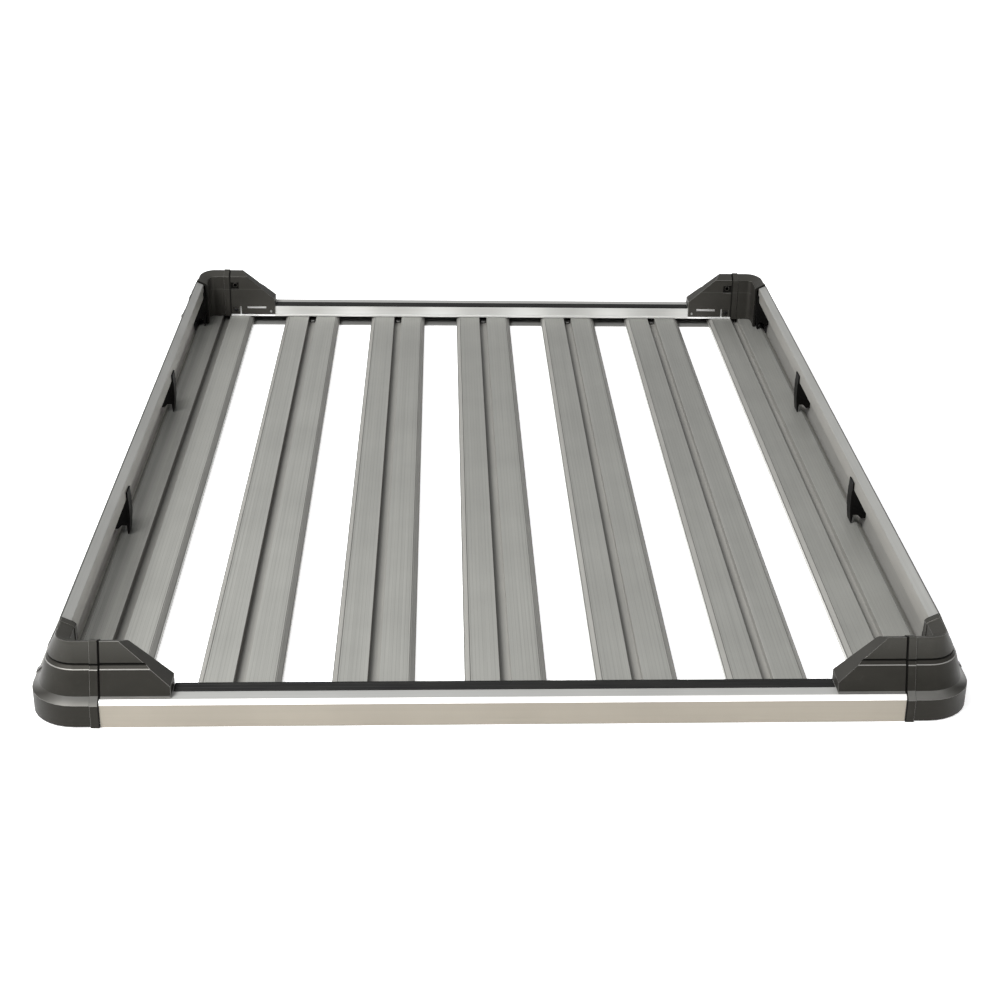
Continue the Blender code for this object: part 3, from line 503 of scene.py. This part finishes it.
def plank_part(normal, across, depth, half_width):
    """Which of the plank's finishes a face takes, from its place across and below the top."""
    from_middle = abs(across)
    if normal.z < -0.5:
        return PLANK_UNDER
    if from_middle < CHANNEL_REACH:
        return PLANK_CHANNEL
    at_foot = from_middle > half_width - SHOULDER_LINE
    in_dark_line = abs(from_middle - DARK_LINE) < DARK_LINE_REACH
    # Painted shade in the deepest edge groove and at the shoulder's foot.
    if normal.z > 0.2 and (at_foot or in_dark_line):
        return PLANK_LINE
    if depth < LAND_DEPTH and from_middle < LAND_REACH:
        # The ribs' sloping sides take the rib line's painted shade.
        return PLANK_RIB if abs(normal.x) > 0.12 else PLANK_TOP
    return PLANK_LEFT if across < 0.0 else PLANK_RIGHT


def dress_planks():
    """Planks with ribs and edge lines cut into their lands."""
    for number in range(1, 8):
        node = f"plank_{number}"
        low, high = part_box(node)
        centre = 0.5 * (low.x + high.x)
        half_width = 0.5 * (high.x - low.x)
        half = plank_section(half_width, low.z, high.z)
        section = half + [(-u, v) for u, v in reversed(half)]
        bm = extruded(section, lambda u, v, w: (centre + u, w, v), low.y, high.y)
        for face in bm.faces:
            middle = face.calc_center_median()
            face.material_index = plank_part(
                face.normal, middle.x - centre, high.z - middle.z, half_width)
        new_piece(f"ribbed_plank_{number}", bm, PLANK_FINISHES, [node], sharp=12.0)


# ---------------------------------------------------------------- rails, strips

# Depths are inward from an end rail's outer face, and lows are heights above the bottom.
END_RAIL_EASE = 0.45 * MM
FOOT_LINE = (0.6 * MM, 0.9 * MM)      # depth and height of the painted shade line along the face's foot
FACE_DEPTH = 0.5 * MM
BEVEL_DEPTH = 5.2 * MM
BEVEL_LOW = 20.0 * MM
INNER_DEPTHS = (36.0 * MM, 44.0 * MM)  # behind the face, where the rail faces the tray
INNER_LOW = 14.5 * MM
TOP_DEPTH = 45.0 * MM
TOP_LOW = 25.0 * MM


def end_rail_part(face, outer, sign, wing_end):
    """Which of the end rail's finishes a face takes."""
    middle = face.calc_center_median()
    depth = abs(outer - middle.y)
    outward = face.normal.y * sign
    if middle.z < FOOT_LINE[1] and depth < FOOT_LINE[0]:
        return END_LINE
    if outward > 0.95 and depth < FACE_DEPTH:
        return END_FACE
    if face.normal.z > 0.2 and depth < BEVEL_DEPTH and middle.z > BEVEL_LOW:
        return END_BEVEL
    if INNER_DEPTHS[0] < depth < INNER_DEPTHS[1] and middle.z > INNER_LOW:
        # Painted light on the stretch of inner wall under the wings.
        return END_UNDER_WING if abs(middle.x) > wing_end else END_INNER
    if face.normal.z > -0.2 and depth < TOP_DEPTH and middle.z > TOP_LOW:
        return END_TOP
    return END_INSIDE


def dress_end_rails():
    """End rails, scored where the wings begin."""
    for name, sign in (("front", -1.0), ("rear", 1.0)):
        node = f"{name}_rail"
        low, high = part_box(node)
        outer = high.y if sign > 0 else low.y
        wing_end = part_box(f"corner_wing_{name}_right")[0].x
        bm = eased_copy(node, END_RAIL_EASE)
        for place in (-wing_end, wing_end):
            score(bm, X, place)
        for face in bm.faces:
            face.material_index = end_rail_part(face, outer, sign, wing_end)
        new_piece(f"{name}_rail_body", bm, END_RAIL_FINISHES, [node])


LOWER_RAIL_EASE = 0.5 * MM
UPPER_RAIL_EASE = 0.9 * MM
LOWER_TOP_WIDTH = 12.0 * MM           # of the lower rails' box part
UPPER_LINE = 493.0 * MM               # |x| where the painted shade along the upper rails' outer edge begins
UPPER_LINE_LOW = 80.0 * MM
UPPER_FOOT_HIGH = 64.0 * MM           # the painted shade along an upper rail's inner foot lies below


def lower_rail_part(face, sign, box_part):
    """Which finish a face of a lower side rail takes; box_part is |x| where its box begins."""
    outward = sign * face.normal.x > 0.05
    on_top = face.normal.z > 0.3 and abs(face.calc_center_median().x) > box_part
    return SIDE_LOWER_FACE if outward or on_top else SIDE_LOWER_INNER


def upper_rail_part(face, sign):
    """Which finish a face of an upper side rail takes."""
    middle = face.calc_center_median()
    if face.normal.z > 0.2 and abs(middle.x) > UPPER_LINE and middle.z > UPPER_LINE_LOW:
        return SIDE_LINE
    inward = sign * face.normal.x < -0.1
    if face.material_index == EASED and middle.z < UPPER_FOOT_HIGH and inward:
        return SIDE_LINE
    return SIDE_TOP if face.normal.z > 0.5 else SIDE_WALL


def dress_side_rails():
    """Both tiers of the side rails."""
    for side, sign in (("left", -1.0), ("right", 1.0)):
        finishes = [
            SIDE_TOP_FINISH, SIDE_WALL_FINISH, LINE_FINISH, LOWER_INNER_FINISHES[side],
            LOWER_FACE_FINISH,
        ]
        node = f"{side}_lower_rail"
        low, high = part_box(node)
        box_part = max(abs(low.x), abs(high.x)) - LOWER_TOP_WIDTH
        bm = eased_copy(node, LOWER_RAIL_EASE)
        for face in bm.faces:
            face.material_index = lower_rail_part(face, sign, box_part)
        new_piece(f"{node}_body", bm, finishes, [node])

        node = f"{side}_upper_rail"
        bm = eased_copy(node, UPPER_RAIL_EASE)
        score(bm, X, sign * UPPER_LINE)
        for face in bm.faces:
            face.material_index = upper_rail_part(face, sign)
        new_piece(f"{node}_body", bm, finishes, [node])


STRIP_EASE = 0.6 * MM
STRIP_GROOVES = (0.30, 0.70)          # places of the grooves' middles, as shares of the width
STRIP_GROOVE_HALVES = (1.3 * MM, 0.6 * MM)  # at its mouth and its floor
STRIP_GROOVE_DEPTH = 0.7 * MM


def dress_strips():
    """Rubber strips with two shallow grooves along their tops."""
    mouth, floor = STRIP_GROOVE_HALVES
    for end in ("front", "rear"):
        node = f"rubber_strip_{end}"
        low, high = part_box(node)
        width = high.y - low.y
        section = [(0.0, low.z), (0.0, high.z - STRIP_EASE), (STRIP_EASE, high.z)]
        for share in STRIP_GROOVES:
            middle = share * width
            section += [
                (middle - mouth, high.z),
                (middle - floor, high.z - STRIP_GROOVE_DEPTH),
                (middle + floor, high.z - STRIP_GROOVE_DEPTH),
                (middle + mouth, high.z),
            ]
        section += [(width - STRIP_EASE, high.z), (width, high.z - STRIP_EASE), (width, low.z)]
        bm = extruded(section, lambda u, v, w: (w, low.y + u, v), low.x, high.x)
        new_piece(f"grooved_strip_{end}", bm, [RUBBER_FINISH], [node])


# ---------------------------------------------------------------- mouldings, fasteners

COVER_EASE = 0.75 * MM
POST_EASE = 0.5 * MM
SEAM_STRIP = 1.2 * MM                 # painted shadow strip on each side of a joint
RECESS_FLOOR = 654.3 * MM             # |y| of the floors of the recesses in the wings
RECESS_SHADOW = 0.8 * MM              # painted shade as a dark border round each recess floor
RECESS_HOLES = ((433.5 * MM, 69.5 * MM), (433.5 * MM, 24.0 * MM))  # |x| and z
HOLE_REACH = 4.0 * MM
LEDGE = (28.0 * MM, 35.6 * MM)        # heights of the covers' sloping ledge
BEAD = (62.2 * MM, 63.8 * MM)         # heights of the bead's crest below the groove
GROOVE = (66.3 * MM, 69.4 * MM)
WING_SLANT_FOOT = 40.0 * MM
INNER_STEP = (61.6 * MM, 63.0 * MM)   # heights of a painted highlight line inside the covers and wings, where a faint step would catch light


def moulding_part(face, seam_x, seam_y):
    """Which finish a face of a cover or wing takes."""
    middle = face.calc_center_median()
    normal = face.normal
    beside_end_seam = abs(abs(middle.x) - seam_x) < SEAM_STRIP
    beside_side_seam = abs(abs(middle.y) - seam_y) < SEAM_STRIP
    towards_tray = middle.x * normal.x + middle.y * normal.y < 0.0
    inner_wall = abs(normal.z) < 0.1 and towards_tray
    # Painted shadow along the joints and in the groove.
    if beside_end_seam or beside_side_seam:
        return COVER_SHADE if inner_wall else COVER_GROOVE
    if GROOVE[0] < middle.z < GROOVE[1] and abs(normal.z) < 0.97:
        return COVER_GROOVE
    sloping = 0.5 < normal.z < 0.9 and abs(normal.x) > 0.4 and abs(normal.y) < 0.1
    on_slant = sloping and abs(middle.x) < seam_x
    # The bead's crest and the rounded edges take the painted highlight.
    if BEAD[0] < middle.z < BEAD[1] and 0.3 < normal.z < 0.97 and not on_slant:
        return COVER_EDGE
    if face.material_index == EASED:
        return COVER_EDGE
    if LEDGE[0] < middle.z < LEDGE[1] and 0.35 < normal.z < 0.9:
        return COVER_LEDGE
    if on_slant and middle.z > WING_SLANT_FOOT:
        return COVER_SLANT
    if abs(middle.x) > seam_x and middle.z < LEDGE[0] and not inner_wall:
        return COVER_SKIRT
    if inner_wall:
        return COVER_STEP_HIGHLIGHT if INNER_STEP[0] < middle.z < INNER_STEP[1] else COVER_INNER
    return COVER_WALL


def shade_recesses(bm):
    """Painted shade as a dark border inside each of a wing's recesses, but not round its hole."""
    floors = [
        face for face in bm.faces
        if abs(face.normal.y) > 0.95
        and abs(abs(face.calc_center_median().y) - RECESS_FLOOR) < 0.1 * MM
    ]
    border = bmesh.ops.inset_region(
        bm, faces=floors, thickness=RECESS_SHADOW, use_even_offset=True)
    for face in border["faces"]:
        middle = face.calc_center_median()
        beside_hole = any(
            math.hypot(abs(middle.x) - x, middle.z - z) < HOLE_REACH for x, z in RECESS_HOLES)
        face.material_index = COVER_INNER if beside_hole else COVER_SHADE


def dress_corners():
    """Corner covers and wings, with painted highlights on their rounded outer edges and painted
    shadow in their joints and grooves.
    """
    seam_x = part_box("front_rail")[1].x
    seam_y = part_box("left_lower_rail")[1].y
    for corner in CORNERS:
        side = -1.0 if corner.endswith("left") else 1.0
        end = -1.0 if corner.startswith("front") else 1.0
        for kind in ("cover", "wing"):
            node = f"corner_{kind}_{corner}"
            bm = eased_copy(node, COVER_EASE)
            if kind == "cover":
                score(bm, X, side * (seam_x + SEAM_STRIP))
                score(bm, Y, end * (seam_y + SEAM_STRIP))
            else:
                score(bm, X, side * (seam_x - SEAM_STRIP))
            for height in INNER_STEP:
                score(bm, Z, height)
            for face in bm.faces:
                face.material_index = moulding_part(face, seam_x, seam_y)
            if kind == "wing":
                shade_recesses(bm)
            new_piece(
                f"{kind}_{corner}_shell", bm, COVER_FINISHES, [node], sharp=24.0)


def dress_posts():
    """Posts with eased edges, in one finish."""
    for side in ("left", "right"):
        for number in range(1, 5):
            node = f"side_post_{side}_{number}"
            bm = eased_copy(node, POST_EASE)
            for face in bm.faces:
                face.material_index = PLAIN
            new_piece(f"{node}_body", bm, [POST_FINISH], [node], sharp=50.0)


def dress_small_parts():
    """The CAD's own fasteners, brackets and plugs, in their finishes."""
    for prefix, material in (
        ("plank_bolt", BOLT_FINISH),
        ("wing_screw", SCREW_FINISH),
        ("wing_rivet", RIVET_FINISH),
        ("corner_bracket", CAST_FINISH),
        ("rail_joiner", CAST_FINISH),
    ):
        for name, item in NODES.items():
            if name.startswith(prefix):
                item.data.materials.clear()
                item.data.materials.append(material)


# ---------------------------------------------------------------- studio

WHITE = (1.0, 1.0, 1.0, 1.0)
BLACK = (0.0, 0.0, 0.0, 1.0)
FLOOR_REACH = 30.0                    # from the middle to each side
FLOOR_DROP = 0.5 * MM                 # below the object, so that the two don't coincide
FLOOR_GLOW = 0.65
BACKDROP_RADIUS = 28.0
BACKDROP_GLOW = 1.2
HORIZON_DIM = 0.14                    # strength of the world at the horizon and overhead
OVERHEAD = 0.48
SKY_RISE = (0.0, 0.6)                 # upward share of a direction, from dim to full
LEFT_GLOW = 0.30                      # added towards the left
GLOW_TURN = (0.05, -0.75)             # rightward share of a direction, from no glow to all of it


def linked_object(name, bm, material):
    """An object in the scene from a finished mesh."""
    mesh = bpy.data.meshes.new(name)
    bm.to_mesh(mesh)
    bm.free()
    mesh.materials.append(material)
    made = bpy.data.objects.new(name, mesh)
    bpy.context.scene.collection.objects.link(made)
    return made


def make_floor():
    """Pale paper floor that glows a little, so that it is white in the picture."""
    paper = Finish("floor_paper", 0.9)
    fibre = paper.noise(400.0)
    paper.colour(paper.mix(paper.spread(fibre, 0.3, 0.7), (0.90, 0.90, 0.90), (0.93, 0.93, 0.93)))
    paper.set("Emission Color", WHITE)
    paper.set("Emission Strength", FLOOR_GLOW)
    bm = bmesh.new()
    bmesh.ops.create_grid(bm, x_segments=1, y_segments=1, size=FLOOR_REACH)
    floor = linked_object("floor", bm, paper.material)
    floor.location.z = -FLOOR_DROP


def make_backdrop():
    """White wall round the floor, far from the object; only the camera sees it."""
    paper = Finish("backdrop_paper", 1.0)
    paper.set("Base Color", BLACK)
    paper.set("Emission Color", WHITE)
    paper.set("Emission Strength", BACKDROP_GLOW)
    bm = bmesh.new()
    bmesh.ops.create_cone(
        bm, cap_ends=False, segments=96, radius1=BACKDROP_RADIUS, radius2=BACKDROP_RADIUS,
        depth=2.0 * BACKDROP_RADIUS,
    )
    backdrop = linked_object("backdrop", bm, paper.material)
    backdrop.visible_diffuse = False
    backdrop.visible_glossy = False
    backdrop.visible_transmission = False
    backdrop.visible_shadow = False


def make_world():
    """White studio: bright overhead and to the left, dim along the right-hand horizon."""
    world = bpy.data.worlds.new("studio")
    world.use_nodes = True
    tree = world.node_tree
    direction = add_node(tree, "ShaderNodeTexCoord").outputs["Generated"]
    split = add_node(tree, "ShaderNodeSeparateXYZ", {0: direction})
    overhead = add_node(tree, "ShaderNodeMapRange", {
        "Value": split.outputs["Z"], "From Min": SKY_RISE[0], "From Max": SKY_RISE[1],
        "To Min": HORIZON_DIM, "To Max": OVERHEAD,
    })
    leftward = add_node(tree, "ShaderNodeMapRange", {
        "Value": split.outputs["X"], "From Min": GLOW_TURN[0], "From Max": GLOW_TURN[1],
        "To Min": 0.0, "To Max": LEFT_GLOW,
    }, interpolation_type="SMOOTHSTEP")
    total = add_node(tree, "ShaderNodeMath", {0: overhead.outputs[0], 1: leftward.outputs[0]})
    background = tree.nodes["Background"]
    tree.links.new(total.outputs[0], background.inputs["Strength"])
    background.inputs["Color"].default_value = WHITE
    bpy.context.scene.world = world


def make_light(name, place, size, power):
    """A rectangular softbox that faces the middle of the tray."""
    data = bpy.data.lights.new(name, "AREA")
    data.shape = "RECTANGLE"
    data.size, data.size_y = size
    data.energy = power
    light = bpy.data.objects.new(name, data)
    bpy.context.scene.collection.objects.link(light)
    light.location = place
    light.rotation_euler = (-Vector(place)).to_track_quat("-Z", "Y").to_euler()


def make_camera():
    """Camera in front of the tray and a little left of its middle, looking down on it."""
    data = bpy.data.cameras.new("camera")
    data.lens = 64.8
    data.sensor_width = 36.0
    data.shift_x = -0.0526
    data.shift_y = 0.0044
    camera = bpy.data.objects.new("camera", data)
    bpy.context.scene.collection.objects.link(camera)
    camera.location = (-0.0721, -2.3927, 1.0460)
    camera.rotation_euler = [math.radians(turn) for turn in (65.382, -1.449, -3.195)]
    bpy.context.scene.camera = camera


dress_planks()
dress_end_rails()
dress_side_rails()
dress_strips()
dress_corners()
dress_posts()
dress_small_parts()
make_floor()
make_backdrop()
make_world()
make_light("front_softbox", place=(-0.9, -1.9, 3.3), size=(3.2, 2.0), power=12.0)
make_light("key_softbox", place=(-2.05, -1.9, 3.3), size=(1.8, 1.8), power=195.0)
make_camera()
bpy.context.scene.view_settings.view_transform = "Standard"
